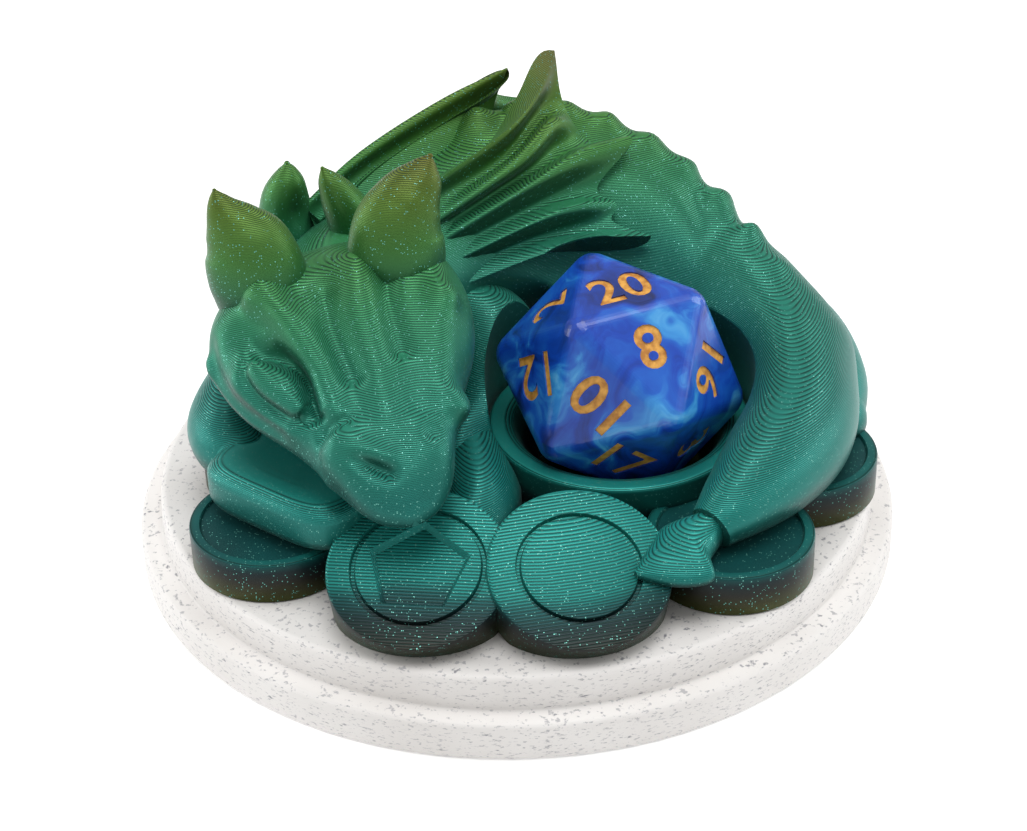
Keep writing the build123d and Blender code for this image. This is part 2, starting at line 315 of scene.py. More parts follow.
def spread(add, value, low, high, to_low=0.0, to_high=1.0):
    """A Map Range node, clamped: low to high becomes to_low to to_high."""
    return add("MapRange", {"Value": value, "From Min": low, "From Max": high, "To Min": to_low,
                            "To Max": to_high}, clamp=True).outputs["Result"]


def mixed(add, share, first, second):
    """A colour Mix: the second colour's share is the first value."""
    return add("Mix", {0: share, "A": first, "B": second}, data_type="RGBA").outputs["Result"]


def ramp(add, factor, stops):
    """A Color Ramp with the given (position, colour) stops."""
    node = add("ValToRGB", {0: factor})
    elements = node.color_ramp.elements
    while len(elements) < len(stops):
        elements.new(0.5)
    for element, (position, colour) in zip(elements, stops):
        element.position = position
        element.color = (*colour, 1)
    return node.outputs["Color"]


def noise(add, place, scale, detail, **more):
    """The height of a Noise texture; further inputs go by their own names."""
    inputs = {"Vector": place, "Scale": scale, "Detail": detail, **more}
    return add("TexNoise", inputs).outputs["Fac"]


def relief(add, height, strength, depth):
    """The normal of a Bump node; the depth is in millimetres."""
    node = add("Bump", {"Height": height, "Strength": strength, "Distance": depth * MM})
    return node.outputs["Normal"]


def layer_wave(add, height):
    """sin(2 pi z / layer): one wave for each printed layer."""
    phase = maths(add, "MULTIPLY", height, 2 * math.pi / (LAYER * MM))
    return maths(add, "SINE", phase)


# %% the filament's colours by height
LAYER = 0.13
FIGURE_TOP = 44.0
DRIFT = 0.6
GLITTER_SCALE = 6800.0
GLITTER_COLOUR = (0.17, 0.52, 0.44, 1)
# the near-black colour painted into the layer grooves as shade
GROOVE_SHADE_COLOUR = (0.002, 0.018, 0.014, 1)
colour_heights = (
    (7.2, (0.075, 0.088, 0.010)),
    (8.2, (0.050, 0.052, 0.014)),
    (9.3, (0.026, 0.026, 0.020)),
    (10.4, (0.010, 0.026, 0.030)),
    (11.1, (0.006, 0.075, 0.075)),
    (11.7, (0.010, 0.200, 0.175)),
    (14.0, (0.015, 0.265, 0.228)),
    (19.0, (0.013, 0.185, 0.152)),
    (25.0, (0.022, 0.220, 0.145)),
    (30.0, (0.032, 0.225, 0.095)),
    (34.0, (0.062, 0.225, 0.045)),
    (38.0, (0.100, 0.195, 0.025)),
    (41.0, (0.115, 0.125, 0.017)),
    (43.5, (0.110, 0.080, 0.014)),
)


def print_material():
    """Silk filament: colour by height, layer steps on slopes with painted shade in their grooves,
    painted light and shade by which way the surface faces, and glitter.
    """
    material, add, wear = new_material("silk_filament")
    place = add("TexCoord").outputs["Object"]
    height = add("SeparateXYZ", {0: place}).outputs["Z"]
    drifted = maths(add, "MULTIPLY_ADD", noise(add, place, 90.0, 2.0), 2 * DRIFT * MM, height)
    share = spread(add, drifted, (BASE_TOP + DRIFT) * MM, (FIGURE_TOP + DRIFT) * MM)
    span = FIGURE_TOP - BASE_TOP
    colour = ramp(add, share, [((z - BASE_TOP) / span, rgb) for z, rgb in colour_heights])

    # the steps of the layers: painted shade in the grooves, none on a wall or on a level top
    wave = layer_wave(add, height)
    normal_z = add("SeparateXYZ", {0: add("NewGeometry").outputs["Normal"]}).outputs["Z"]
    lean = maths(add, "ABSOLUTE", normal_z)
    sloping = spread(add, lean, 0.12, 0.75)
    not_level = spread(add, lean, 0.97, 0.995, 1.0, 0.0)
    step = maths(add, "MULTIPLY", sloping, not_level)
    # painted shade: how much of the dark groove colour each groove gets
    groove = spread(add, wave, -1.0, 0.2, 0.85, 0.0)
    groove_shaded = mixed(add, maths(add, "MULTIPLY", groove, step), colour, GROOVE_SHADE_COLOUR)

    # the glitter: the middles of a few cells
    cells = add("TexVoronoi", {"Vector": place, "Scale": GLITTER_SCALE})
    lucky = add("SeparateColor", {0: cells.outputs["Color"]}).outputs["Red"]
    chosen = maths(add, "GREATER_THAN", lucky, 0.92)
    near = maths(add, "LESS_THAN", cells.outputs["Distance"], 0.36)
    glint = maths(add, "MULTIPLY", chosen, near)

    # painted light and shade: the colour is lifted where the surface faces up and darkened where it
    # faces sideways or down
    painted_facing_shade = spread(add, normal_z, -0.2, 0.6, 0.38, 1.12)
    facing_shaded_colour = add("VectorMath", {0: groove_shaded, 1: painted_facing_shade}, operation="MULTIPLY").outputs[0]
    polish = add("Mix", {0: glint, 2: 0.38, 3: 0.20}, data_type="FLOAT").outputs[0]
    stepped = maths(add, "MULTIPLY", wave, step)
    rough = maths(add, "MULTIPLY_ADD", noise(add, place, 900.0, 2.0), 0.5, stepped)
    wear({
        "Base Color": mixed(add, glint, facing_shaded_colour, GLITTER_COLOUR), "Roughness": polish,
        "Normal": relief(add, rough, 0.35, 0.05), "Metallic": 0.40, "Specular IOR Level": 0.3,
        "Sheen Weight": 0.06, "Sheen Roughness": 0.4, "Sheen Tint": (0.55, 1.0, 0.92, 1),
    })
    return material


silk = print_material()
print("material:", silk.name)


# %% [markdown]
# ### The display base
# Marble-effect plastic is off-white with dark flecks that the nozzle drags out
# along the layer, so the flecks are short dashes that lie level on a wall.  A
# noise squeezed in height gives dashes; a sharp ramp leaves only its peaks.

# %% marble-effect plastic
def fleck_layer(add, place, scale, low, high):
    """Peaks of a noise as a mask between two thresholds."""
    return spread(add, noise(add, place, scale, 3.0, Roughness=0.6), low, high)


def base_material():
    """Off-white plastic with dashes of grey in two sizes and faint layer lines."""
    material, add, wear = new_material("marble_effect_plastic")
    place = add("TexCoord").outputs["Object"]
    squeezed = add("Mapping", {"Vector": place, "Scale": (1.0, 1.0, 3.2)}).outputs["Vector"]
    cloud = noise(add, place, 60.0, 3.0)
    ground = ramp(add, cloud, [(0.3, (0.74, 0.715, 0.69)), (0.7, (0.83, 0.81, 0.79))])
    fine = fleck_layer(add, squeezed, 1700.0, 0.585, 0.66)
    coarse = fleck_layer(add, squeezed, 1050.0, 0.645, 0.72)
    speckled = mixed(add, fine, ground, (0.46, 0.45, 0.46, 1))
    wave = layer_wave(add, add("SeparateXYZ", {0: place}).outputs["Z"])
    wear({"Base Color": mixed(add, coarse, speckled, (0.27, 0.27, 0.29, 1)), "Roughness": 0.62,
          "Normal": relief(add, wave, 0.12, 0.04)})
    return material


marble_plastic = base_material()
print("material:", marble_plastic.name)


# %% [markdown]
# ### The die and its numbers
# A marbled die is poured from two resins that are stirred once: deep blue and a
# pearly pale blue.  A noise that is itself bent by another noise has the same
# folded swirls.  The die is polished, so a clear coat lies over the colour.

# %% swirled resin and number paint
def resin_material():
    """Royal blue with navy and pearly swirls under a polished coat."""
    material, add, wear = new_material("swirled_resin")
    place = add("TexCoord").outputs["Object"]
    bend = add("TexNoise", {"Vector": place, "Scale": 70.0, "Detail": 3.0}).outputs["Color"]
    bent = mixed(add, 0.022, place, bend)
    swirl = noise(add, bent, 95.0, 5.0, Roughness=0.55, Distortion=1.6)
    colour = ramp(add, swirl, [
        (0.30, (0.003, 0.006, 0.030)), (0.39, (0.004, 0.030, 0.24)), (0.48, (0.005, 0.060, 0.45)),
        (0.57, (0.010, 0.120, 0.56)), (0.65, (0.045, 0.300, 0.70)), (0.78, (0.20, 0.58, 0.84)),
    ])
    wear({"Base Color": colour, "Roughness": 0.30, "Coat Weight": 0.3, "Coat Roughness": 0.05,
          "Subsurface Weight": 0.12, "Subsurface Radius": (0.2, 0.5, 1.0),
          "Subsurface Scale": 1.0 * MM})
    return material


def paint_material():
    """Orange-gold paint, thinner and darker in places."""
    material, add, wear = new_material("number_paint")
    worn = noise(add, add("TexCoord").outputs["Object"], 1300.0, 3.0)
    colour = ramp(add, worn, [(0.35, (0.50, 0.20, 0.03)), (0.62, (0.84, 0.42, 0.075))])
    wear({"Base Color": colour, "Roughness": 0.42, "Normal": relief(add, worn, 0.3, 0.03)})
    return material


resin = resin_material()
paint = paint_material()
print("materials:", resin.name, paint.name)


# %% [markdown]
# ## Camera and stage
# The camera is settled first, because every look at a piece needs it.  It stands
# in front of the base's middle, 32 degrees up, tilted a little over to one side.

# %% camera
CAMERA_FROM = Vector((-0.05, -183.9, 127.2)) * MM
CAMERA_ELEVATION = math.radians(32.07)
CAMERA_ROLL = math.radians(-1.61)
SENSOR_WIDTH = 36.0
FOCAL_LENGTH = 77.1

camera_data = bpy.data.cameras.new("camera")
camera_data.lens = FOCAL_LENGTH
camera_data.sensor_width = SENSOR_WIDTH
camera_data.clip_start = 0.01
camera = bpy.data.objects.new("camera", camera_data)
camera.location = CAMERA_FROM
camera.rotation_mode = "XYZ"
bpy.context.collection.objects.link(camera)
level_aim = Euler((math.pi / 2 - CAMERA_ELEVATION, 0, 0)).to_matrix()
camera.rotation_euler = (level_aim @ Matrix.Rotation(CAMERA_ROLL, 3, "Z")).to_euler()
bpy.context.scene.camera = camera
print("camera at", tuple(round(v, 3) for v in camera.location))


# %% [markdown]
# A white sweep of paper and soft boxes is the usual stage for a small print.
# The floor is a pale sheet; the light is one wide box above, one to each side,
# and the white of the room.

# %% stage and light
FLOOR_REACH = 3.0
LAMP_AIM = Vector((0, 0, 0.015))
ROOM_LIGHT = 0.46


def soft_box(name, place, size, power):
    """An area lamp that faces the object."""
    lamp = bpy.data.lights.new(name, "AREA")
    lamp.shape = "DISK"
    lamp.size = size
    lamp.energy = power
    holder = bpy.data.objects.new(name, lamp)
    holder.location = place
    holder.rotation_euler = (LAMP_AIM - Vector(place)).to_track_quat("-Z", "Y").to_euler()
    bpy.context.collection.objects.link(holder)


def floor_piece():
    """A square of paper under the object, drawn as a two by two grid."""
    corners = [(x, y, 0) for y in (-FLOOR_REACH, FLOOR_REACH) for x in (-FLOOR_REACH, FLOOR_REACH)]
    mesh = bpy.data.meshes.new("paper_floor")
    mesh.from_pydata(corners, [], [[0, 1, 3, 2]])
    floor = bpy.data.objects.new("paper_floor", mesh)
    bpy.context.collection.objects.link(floor)
    material, _, wear = new_material("white_paper")
    wear({"Base Color": (0.95, 0.95, 0.95, 1), "Roughness": 0.9, "Emission Color": (1, 1, 1, 1),
          "Emission Strength": 0.22})
    mesh.materials.append(material)


floor_piece()
soft_box("key_box", (0.03, -0.04, 0.58), 0.40, 1.7)
soft_box("left_box", (-0.45, 0.08, 0.24), 0.35, 1.1)
soft_box("right_box", (0.45, 0.10, 0.28), 0.35, 1.0)
world = bpy.data.worlds.new("white_room")
world.use_nodes = True
background = world.node_tree.nodes["Background"]
background.inputs["Color"].default_value = (1, 1, 1, 1)
background.inputs["Strength"].default_value = ROOM_LIGHT
bpy.context.scene.world = world
bpy.context.scene.view_settings.view_transform = "Standard"
print("stage set")


# %% [markdown]
# ## Display base
# The real base is a disc with a lower ledge and an upper tier, its edges rounded
# over.  It could be two bevelled cylinders, but one outline spun round the axis
# gives the roundings their true radius.  The outline is a few corners, each cut
# by a small quarter arc.

# %% helper: lathe turning
def rounded_outline(corners, arc_points=7):
    """Corners (r, z, rounding): a quadratic curve joins the points set back from each corner."""
    corners = np.array(corners, float)
    outline = [corners[:1, :2]]
    for before, corner, after in zip(corners[:-2], corners[1:-1], corners[2:]):
        back = corner[:2] + unit(before[:2] - corner[:2]) * corner[2]
        onward = corner[:2] + unit(after[:2] - corner[:2]) * corner[2]
        t = np.linspace(0, 1, arc_points)[:, None]
        outline.append(back * (1 - t) ** 2 + corner[:2] * 2 * t * (1 - t) + onward * t**2)
    outline.append(corners[-1:, :2])
    return np.vstack(outline)


def turned_rings(outline, columns=192, axis=(0.0, 0.0)):
    """Spin an outline of (r, z): x = r cos a, y = r sin a."""
    angle = np.linspace(0, 2 * np.pi, columns, endpoint=False)
    r, z = outline[:, :1], outline[:, 1:]
    x = axis[0] + r * np.cos(angle)
    y = axis[1] + r * np.sin(angle)
    return np.stack([x, y, np.broadcast_to(z, x.shape)], -1)


# %% base piece
TIER_R = 35.15
LEDGE = 3.75
base_outline = rounded_outline((
    (0.4, 0, 0), (BASE_R, 0, 0.5), (BASE_R, LEDGE, 0.75), (TIER_R + 0.15, LEDGE, 0.25),
    (TIER_R, BASE_TOP, 0.75), (0.4, BASE_TOP, 0),
))
plinth = make_piece("plinth", closed_shell(turned_rings(base_outline, 256)))
settle(plinth, "stand", ["display_base"], marble_plastic)


# %% [markdown]
# ## Die cup
# A low round cup with a broad rim that runs down into a bowl, where the die's
# lower corners come to rest.  It is turned in the same way, about its own axis.

# %% cup piece
CUP_RIM = cup_high[2]
RIM_UP = CUP_RIM + 0.7
FLOOR = 7.8
cup_outline = rounded_outline((
    (0.3, BASE_TOP, 0), (CUP_R - 0.2, BASE_TOP, 0.2), (CUP_R, RIM_UP, 0.5), (11.2, RIM_UP, 0.25),
    (10.3, RIM_UP - 0.35, 0.35), (9.7, 12.2, 0.4), (9.1, 10.8, 0.4), (8.6, 9.4, 0.3),
    (8.2, FLOOR, 0.3), (0.3, FLOOR, 0),
))
figure_piece("cup", closed_shell(turned_rings(cup_outline, 160, cup_middle[:2])), "dice_cup")


# %% [markdown]
# ## Coins
# Each coin is a thick disc.  Its face carries a ring groove, and one of them a
# sunk five-sided figure.  A height over the disc does it: rows of points at set
# radii, where a row may follow a circle or the outline of a regular polygon.

# %% helper: coin surface
COIN_R = 7.75
COIN_T = 4.1


def polygon_share(angle, sides, turn):
    """How far out a regular polygon's edge is, as a share of its corner radius."""
    half = np.pi / sides
    local = (angle - turn) % (2 * half) - half
    return np.cos(half) / np.cos(local)


def coin_rings(rows, sides=5, turn=0.0, columns=120, grow=1.0):
    """Rows of (radius, height, polygon weight) from the middle of the face to the underside."""
    angle = np.linspace(0, 2 * np.pi, columns, endpoint=False)
    rows = np.array(rows, float)
    share = 1 + rows[:, 2:3] * (polygon_share(angle, sides, turn) - 1)
    radius = rows[:, :1] * share * grow
    height = np.broadcast_to(rows[:, 1:2], radius.shape)
    return np.stack([radius * np.cos(angle), radius * np.sin(angle), height], -1)


def groove_rows(radius, width=0.5, depth=0.35):
    """Four rows that cut a ring groove in the face."""
    half = width / 2
    return [(radius - half, COIN_T, 0), (radius - half * 0.5, COIN_T - depth, 0),
            (radius + half * 0.5, COIN_T - depth, 0), (radius + half, COIN_T, 0)]


edge_rows = [(COIN_R - 0.25, COIN_T, 0), (COIN_R - 0.07, COIN_T - 0.07, 0),
             (COIN_R, COIN_T - 0.25, 0), (COIN_R, 0.15, 0), (COIN_R - 0.15, 0, 0), (0.3, 0, 0)]
plain_face = [(0.3, COIN_T, 0)] + groove_rows(5.3) + edge_rows
rimmed_face = [(0.3, COIN_T - 0.25, 0), (6.6, COIN_T - 0.25, 0), (6.8, COIN_T, 0)] + edge_rows
five_face = ([(0.3, COIN_T - 0.55, 1), (4.0, COIN_T - 0.55, 1), (4.5, COIN_T, 1)]
             + groove_rows(5.5, 0.55, 0.4) + edge_rows)
domed_face = ([(0.3, COIN_T + 0.25, 0), (3.0, COIN_T + 0.2, 0), (4.6, COIN_T + 0.05, 0)]
              + groove_rows(5.1, 0.5, 0.4) + edge_rows)
print("coin faces drawn:", len(five_face), "rows at most")

# %% coins laid and leaned
LEAN = math.radians(23)
LEAN_HEIGHT = 8.75
LEANING_R = 8.3
flat_ring = {
    "coin_front_right": rimmed_face, "coin_right": rimmed_face, "coin_right_back": plain_face,
    "coin_back_right": five_face, "coin_back": plain_face, "coin_back_left": rimmed_face,
    "coin_left_back": five_face, "coin_left": plain_face, "coin_front_left": rimmed_face,
}
for node, rows in flat_ring.items():
    low, high = box_mm(node)
    middle = (low[:2] + high[:2]) / 2
    bearing = math.atan2(middle[1], middle[0])
    rings = coin_rings(rows, turn=bearing) + np.array([*middle, BASE_TOP])
    figure_piece(node + "_disc", closed_shell(rings), node, smooth=False)


def leaning_coin(node, rows, middle, facing, turn):
    """Lean a coin outwards: its axes are the level one, the one down the slope and its normal."""
    facing = math.radians(facing)
    outward = np.array([math.cos(facing), math.sin(facing), 0])
    normal = outward * math.sin(LEAN) + np.array([0, 0, math.cos(LEAN)])
    level = np.cross(normal, outward)
    level /= np.linalg.norm(level)
    axes = np.stack([level, np.cross(normal, level), normal])
    rings = coin_rings(rows, turn=turn, columns=180, grow=LEANING_R / COIN_R)
    rings = rings @ axes + np.array([*middle, LEAN_HEIGHT])
    rings[..., 2] = np.maximum(rings[..., 2], BASE_TOP)
    figure_piece(node + "_disc", closed_shell(rings), node, smooth=False)


leaning_coin("coin_front_middle", five_face, (-8.7, -24.1), -97, 0.3)
leaning_coin("coin_front", domed_face, (5.1, -24.9), -78, 0.0)


# %% [markdown]
# ## Neck, body and tail
# The whole dragon is one fat worm that curls round the cup: neck, shoulders, a
# heavy belly, hips and a thinning tail.  One sweep makes it, and it is then cut
# into three pieces between rows, so the pieces share their rings and no seam
# shows.  The cup has to lift a die past the belly, so every point that would
# stand over the cup is pushed out to the cup's clear radius.

# %% helpers: clear of the die's way
NEST_R = 12.9
NEST_FROM = CUP_RIM - 1.5


def clear_of_nest(rings, radius=NEST_R):
    """Points above the rim and inside the radius round the cup's axis move straight out to it."""
    away = rings[..., :2] - cup_middle[:2]
    distance = np.linalg.norm(away, axis=-1)
    inside = (distance < radius) & (rings[..., 2] > NEST_FROM)
    scale = np.where(inside, radius / np.maximum(distance, 1e-6), 1.0)
    moved = rings.copy()
    moved[..., :2] = cup_middle[:2] + away * scale[..., None]
    return moved


def above_base(rings):
    """Nothing of the figure goes below the top of the base."""
    moved = rings.copy()
    moved[..., 2] = np.maximum(moved[..., 2], BASE_TOP)
    return moved


# %% the worm, its swellings and the places of the back spines
worm_stations = (
    (-16.8, -3.0, 23.6, 7.4), (-15.4, 3.4, 23.0, 8.2), (-12.2, 9.4, 22.2, 9.0),
    (-7.0, 15.2, 22.4, 10.2), (1.2, 19.6, 23.0, 11.2), (10.0, 19.2, 21.2, 10.6),
    (17.4, 14.4, 17.6, 9.3), (22.5, 7.2, 15.8, 8.1), (26.4, -1.2, 15.2, 6.8),
    (26.4, -8.5, 14.8, 5.8), (23.4, -15.0, 14.6, 4.7), (19.6, -20.0, 14.2, 3.3),
    (17.4, -22.2, 13.4, 2.2),
)
spine_line = np.array((
    (-2.8, 20.0, 34.2, 1.6), (1.6, 21.1, 34.5, 1.8), (5.8, 22.1, 33.5, 1.9),
    (9.8, 21.6, 32.3, 1.9), (13.9, 20.6, 30.1, 1.9), (17.4, 19.0, 28.1, 1.8),
    (20.8, 16.1, 26.0, 1.7), (23.7, 12.1, 24.2, 1.4), (26.0, 7.8, 22.4, 1.1),
))
body_strokes = [
    # the hip, the crest of the back, the crease behind the wing, the top of the tail
    (((26.5, 9.0, 23.0), (31.0, 3.0, 18.0)), 4.5, 1.3),
    (((-4.6, 19.6, 33.2), (5.4, 21.4, 32.8), (14.6, 20.0, 29.0), (21.4, 14.6, 25.6)), 1.8, 0.6),
    (((18.0, 18.5, 27.5), (20.0, 12.5, 27.0), (18.4, 7.0, 23.0)), 1.6, -0.5),
    (((20.0, -16.0, 17.0), (24.5, -7.0, 19.0), (26.5, 0.0, 21.0)), 2.2, 0.35),
]
spine_bumps = [(((x, y, z),), size * 1.15, 1.7) for x, y, z, size in spine_line]


def slumped(rings, start=20.5, slope=1.7, softness=1.2):
    """Soft minimum -k log(e^(-z/k) + e^(-cone/k)) of height and a cone that rises from the cup."""
    distance = np.linalg.norm(rings[..., :2] - cup_middle[:2], axis=-1)
    cone = start + slope * np.maximum(distance - NEST_R, 0)
    moved = rings.copy()
    moved[..., 2] = -softness * np.logaddexp(-rings[..., 2] / softness, -cone / softness)
    return moved


worm = sweep(smooth_through(worm_stations, 330), columns=144, dome=(False, False))
worm = sculpted(worm, body_strokes + spine_bumps)
worm = above_base(clear_of_nest(slumped(worm)))
for name, node, first, last in (
    ("neck_skin", "neck", 0, 84), ("torso_skin", "torso", 83, 194), ("tail_skin", "tail", 193, 330),
):
    figure_piece(name, closed_shell(worm[first:last]), node)


# %% [markdown]
# ## Back spines
# A row of low rounded knobs runs over the back and fades towards the hips.  The
# body already swells at each of them.  A knob is a small ball, squashed, that
# leans along the row, and all of them are one mesh.

# %% spines
def ball_rings(middle, radii, rows=20, columns=28):
    """An ellipsoid: x = a sin p cos t, y = b sin p sin t, z = c cos p, moved to its middle."""
    p = np.linspace(0.04, np.pi - 0.04, rows)[:, None]
    t = np.linspace(0, 2 * np.pi, columns, endpoint=False)[None, :]
    x, y = np.sin(p) * np.cos(t), np.sin(p) * np.sin(t)
    unit_ball = np.stack([x, y, np.cos(p) * np.ones_like(t)], -1)
    return unit_ball * np.asarray(radii) + np.asarray(middle)


spine_headings = unit(np.gradient(spine_line[:, :3], axis=0))
knobs = []
for (x, y, z, size), heading in zip(spine_line, spine_headings):
    ball = ball_rings((0, 0, 0), (size * 1.25, size * 0.95, size))
    across = unit(np.cross((0, 0, 1), heading))
    axes = np.stack([heading, across, np.cross(heading, across)])
    knobs.append(closed_shell(ball @ axes + np.array([x, y, z])))
figure_piece("back_knobs", joined(knobs), "dorsal_spines")


# %% [markdown]
# ## Head
# Seen along the snout the skull is a rounded box: a superellipse, whose corners
# are fuller than an oval's.  Its width, top and bottom change along the snout.
# The shell is then sculpted with bumps, ridges and creases: the closed eye, the
# cheek and brows, the furrows of the forehead, the nostrils, the jaw and mouth.

# %% skull
HEAD_PLACE = np.array([-17.4, -0.5, 0.0])
HEAD_YAW = math.radians(17)
HEAD_ROLL = math.radians(7)
ROLL_HEIGHT = 24.0
BOXINESS = 2.5
head_sections = (
    # forward, half width, top, bottom
    (-2.0, 5.0, 29.5, 21.0), (0.0, 9.5, 31.5, 20.2), (4.0, 11.8, 32.2, 19.8),
    (8.0, 12.1, 31.0, 19.6), (12.0, 10.9, 28.8, 19.2), (16.0, 8.4, 26.5, 18.4),
    (19.0, 6.6, 24.8, 17.5), (22.0, 5.4, 23.2, 16.8), (24.2, 4.2, 21.4, 16.4),
    (25.5, 2.6, 19.4, 16.3), (26.2, 0.6, 17.8, 16.6),
)


def skull_rings(rows=210, columns=260):
    """Superellipse rings: side w cos^(2/n), height h sin^(2/n), rolled, turned and put in place."""
    forward, half, top, bottom = smooth_through(head_sections, rows).T
    angle = np.linspace(0, 2 * np.pi, columns, endpoint=False)
    cosine = np.sign(np.cos(angle)) * np.abs(np.cos(angle)) ** (2 / BOXINESS)
    sine = np.sign(np.sin(angle)) * np.abs(np.sin(angle)) ** (2 / BOXINESS)
    across = np.abs(half)[:, None] * cosine
    up = ((top + bottom) / 2)[:, None] + ((top - bottom) / 2)[:, None] * sine - ROLL_HEIGHT
    rolled = across * math.cos(HEAD_ROLL) - up * math.sin(HEAD_ROLL)
    z = ROLL_HEIGHT + across * math.sin(HEAD_ROLL) + up * math.cos(HEAD_ROLL)
    x = rolled * math.cos(HEAD_YAW) + forward[:, None] * math.sin(HEAD_YAW)
    y = rolled * math.sin(HEAD_YAW) - forward[:, None] * math.cos(HEAD_YAW)
    return np.stack([x, y, z], -1) + HEAD_PLACE


print("skull:", len(head_sections), "sections")


# %% face
head_strokes = [
    # the eye: a sunk socket, the closed lid that bulges in it, a crease above and one below
    (((-23.6, -12.6, 27.2), (-20.8, -15.6, 25.8), (-18.4, -17.6, 24.8)), 3.3, -1.5),
    (((-23.0, -13.8, 26.2), (-21.0, -15.9, 25.3), (-19.2, -17.5, 24.5)), 2.3, 2.4),
    (((-23.3, -12.4, 27.9), (-21.6, -13.0, 27.8), (-19.8, -14.2, 27.4), (-18.5, -15.4, 26.5),
      (-17.6, -17.5, 25.3), (-17.3, -18.6, 24.5)), 0.9, -1.6),
    (((-17.3, -18.6, 24.5), (-19.2, -18.5, 23.6), (-21.4, -17.3, 23.9), (-22.8, -16.0, 24.5),
      (-24.0, -14.6, 25.6), (-24.1, -13.4, 26.7)), 0.7, -0.9),
    # big forms: cheek, brows, muzzle
    (((-27.6, -9.5, 24.0),), 5.0, 0.3),
    (((-22.4, -8.0, 30.4), (-19.6, -11.8, 29.2), (-17.4, -15.2, 27.0),
      (-16.2, -18.2, 24.9)), 1.5, 1.6),
    (((-7.0, -3.4, 31.6), (-6.4, -8.0, 30.2), (-6.0, -12.6, 27.6), (-6.0, -16.4, 25.2)), 1.7, 0.8),
    (((-22.6, -7.8, 30.4),), 1.6, 1.3),
    (((-5.8, -7.8, 30.0),), 1.6, 0.8),
    (((-5.4, -16.6, 23.4),), 1.8, 1.5),
    (((-14.8, -21.2, 22.2),), 2.4, 1.2),
    (((-7.6, -20.6, 22.8),), 2.2, 0.7),
    # furrows on the forehead
    (((-17.0, -8.4, 30.9), (-16.0, -12.0, 29.0), (-14.2, -15.8, 26.8)), 1.1, -0.8),
    (((-11.4, -6.0, 31.8), (-11.0, -9.6, 30.6), (-9.9, -13.4, 28.2)), 1.1, -0.9),
    (((-14.2, -5.0, 32.0), (-13.6, -10.0, 30.4), (-12.4, -15.0, 27.6),
      (-11.2, -19.6, 24.8)), 1.7, 0.6),
    # nostrils and the fold behind the muzzle
    (((-14.9, -22.2, 22.3), (-12.8, -23.2, 21.9), (-11.0, -23.9, 21.4)), 0.7, -0.8),
    (((-15.4, -21.2, 23.2), (-13.0, -22.2, 22.9), (-11.2, -22.8, 22.6)), 0.8, 0.35),
    (((-7.3, -20.6, 23.2),), 0.9, -0.8),
    (((-16.8, -20.9, 21.4), (-16.7, -20.0, 23.2), (-14.8, -19.5, 24.1)), 0.55, -0.7),
    # jaw line and mouth
    (((-27.4, -9.8, 24.6), (-27.6, -11.6, 23.4), (-26.0, -14.2, 22.2), (-22.0, -18.0, 21.0),
      (-17.2, -22.4, 18.9)), 0.9, 0.6),
    (((-27.2, -9.4, 26.2), (-27.2, -11.6, 24.8), (-25.4, -14.6, 23.2),
      (-21.4, -18.4, 21.9)), 0.9, -0.35),
    (((-5.2, -17.4, 21.6), (-6.2, -20.6, 20.2), (-8.2, -23.8, 18.6)), 0.6, -0.7),
]
skull = clear_of_nest(sculpted(skull_rings(), head_strokes))
figure_piece("head_skin", closed_shell(skull), "head")


# %% [markdown]
# ## Horns and claws
# A horn is wide where it grows out of the skull and draws in fast to a hooked
# point.  The same sweep makes it; a shallow keel runs up the front.

# %% horns
def limb(name, node, stations, strokes=(), columns=96, **how):
    """Sweep the stations, sculpt the rings with the strokes, and keep the die's way clear."""
    rings = sculpted(sweep(smooth_through(stations, 90), columns, **how), strokes)
    figure_piece(name, closed_shell(above_base(clear_of_nest(rings))), node)


horn_right = (
    (-22.9, -5.0, 29.0, 4.4), (-23.3, -5.0, 31.4, 4.6), (-24.0, -5.0, 34.3, 4.1),
    (-25.0, -5.0, 36.4, 2.9), (-25.8, -5.0, 38.0, 1.7), (-26.2, -5.0, 39.1, 0.9),
    (-26.4, -5.0, 39.9, 0.2),
)
horn_left = (
    (-10.7, -2.8, 29.6, 4.5), (-10.5, -2.8, 31.8, 4.6), (-10.2, -2.6, 34.6, 4.2),
    (-9.2, -2.2, 37.0, 3.3), (-8.0, -1.8, 39.0, 2.2), (-7.4, -1.6, 40.2, 1.2),
    (-7.0, -1.5, 41.0, 0.3),
)
keel_right = (((-25.2, -8.4, 36.2), (-24.4, -9.8, 33.6), (-22.8, -11.6, 30.4)), 0.8, 0.45)
keel_left = (((-8.4, -5.2, 38.2), (-9.0, -6.6, 36.6), (-10.0, -9.0, 32.0)), 0.9, 0.4)
claw_left = (
    (-14.6, 5.2, 28.6, 2.6), (-15.0, 5.0, 31.4, 2.4), (-16.0, 4.7, 34.0, 1.9),
    (-16.9, 4.5, 36.0, 1.1), (-17.4, 4.4, 37.3, 0.2),
)
claw_right = (
    (-21.8, 9.0, 25.5, 2.6), (-21.8, 9.0, 29.0, 2.7), (-21.6, 9.0, 31.8, 2.5),
    (-21.3, 9.0, 33.8, 1.8), (-21.2, 9.0, 35.0, 1.0), (-21.2, 9.0, 35.7, 0.3),
)
claw_hollow = (((-19.4, 6.2, 31.0),), 2.4, -1.2)
for name, node, stations, strokes, flat in (
    ("horn_right_cone", "horn_right", horn_right, [keel_right], 0.78),
    ("horn_left_cone", "horn_left", horn_left, [keel_left], 0.78),
    ("wing_claw_left_cone", "wing_claw_left", claw_left, [], 1.0),
    ("wing_claw_right_cone", "wing_claw_right", claw_right, [claw_hollow], 1.0),
):
    limb(name, node, stations, strokes, flat=flat, up=(0, 1, 0), dome=(False, True))


